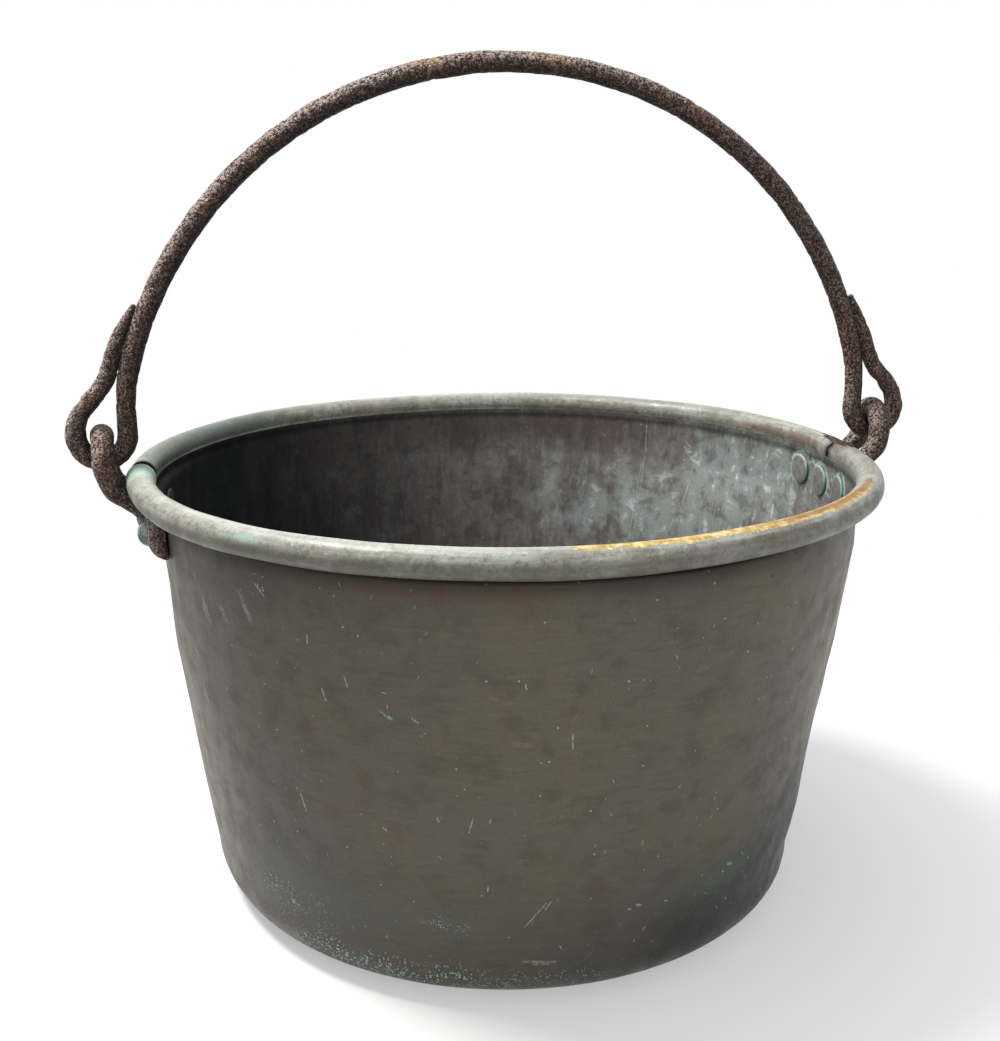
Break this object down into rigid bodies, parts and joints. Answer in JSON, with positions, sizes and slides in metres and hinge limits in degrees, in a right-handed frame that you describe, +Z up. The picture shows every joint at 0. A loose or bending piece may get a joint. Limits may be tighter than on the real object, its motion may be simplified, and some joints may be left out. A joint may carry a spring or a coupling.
{
  "type": "laundry copper boiler",
  "caption": "Round copper wash boiler: a tapered open pan with a flat base and rolled rim, riveted iron ears and a swinging iron bail handle.",
  "frame": {"origin": "middle of the flat base, where it rests on the floor", "axes": "+Z up through the mouth; X runs through both ears, +X toward the right ear as seen from the front; +Y toward the back"},
  "size_m": [0.6044, 0.52, 0.5748],
  "materials": {
    "copper_sheet": "dull brown-grey patina with verdigris specks",
    "rivet_copper": "dull patina, green at the edges",
    "hoop_iron": "rusted",
    "ear_iron": "rusted and pitted",
    "bail_iron": "rusted and pitted"
  },
  "bodies": {
    "pan": {"pan": "copper_sheet", "rim_hoop": "hoop_iron", "ear_left": "ear_iron", "ear_right": "ear_iron", "rivet_left_front": "rivet_copper", "rivet_left_middle": "rivet_copper", "rivet_left_back": "rivet_copper", "rivet_right_front": "rivet_copper", "rivet_right_middle": "rivet_copper", "rivet_right_back": "rivet_copper"},
    "bail": {"bail": "bail_iron"}
  },
  "joints": [
    {"name": "bail_swing", "type": "hinge", "parent": "pan", "child": "bail", "pos_m": [0.004, 0, 0.3114], "axis": [1, 0, 0], "range_deg": [-85, 85]}
  ]
}
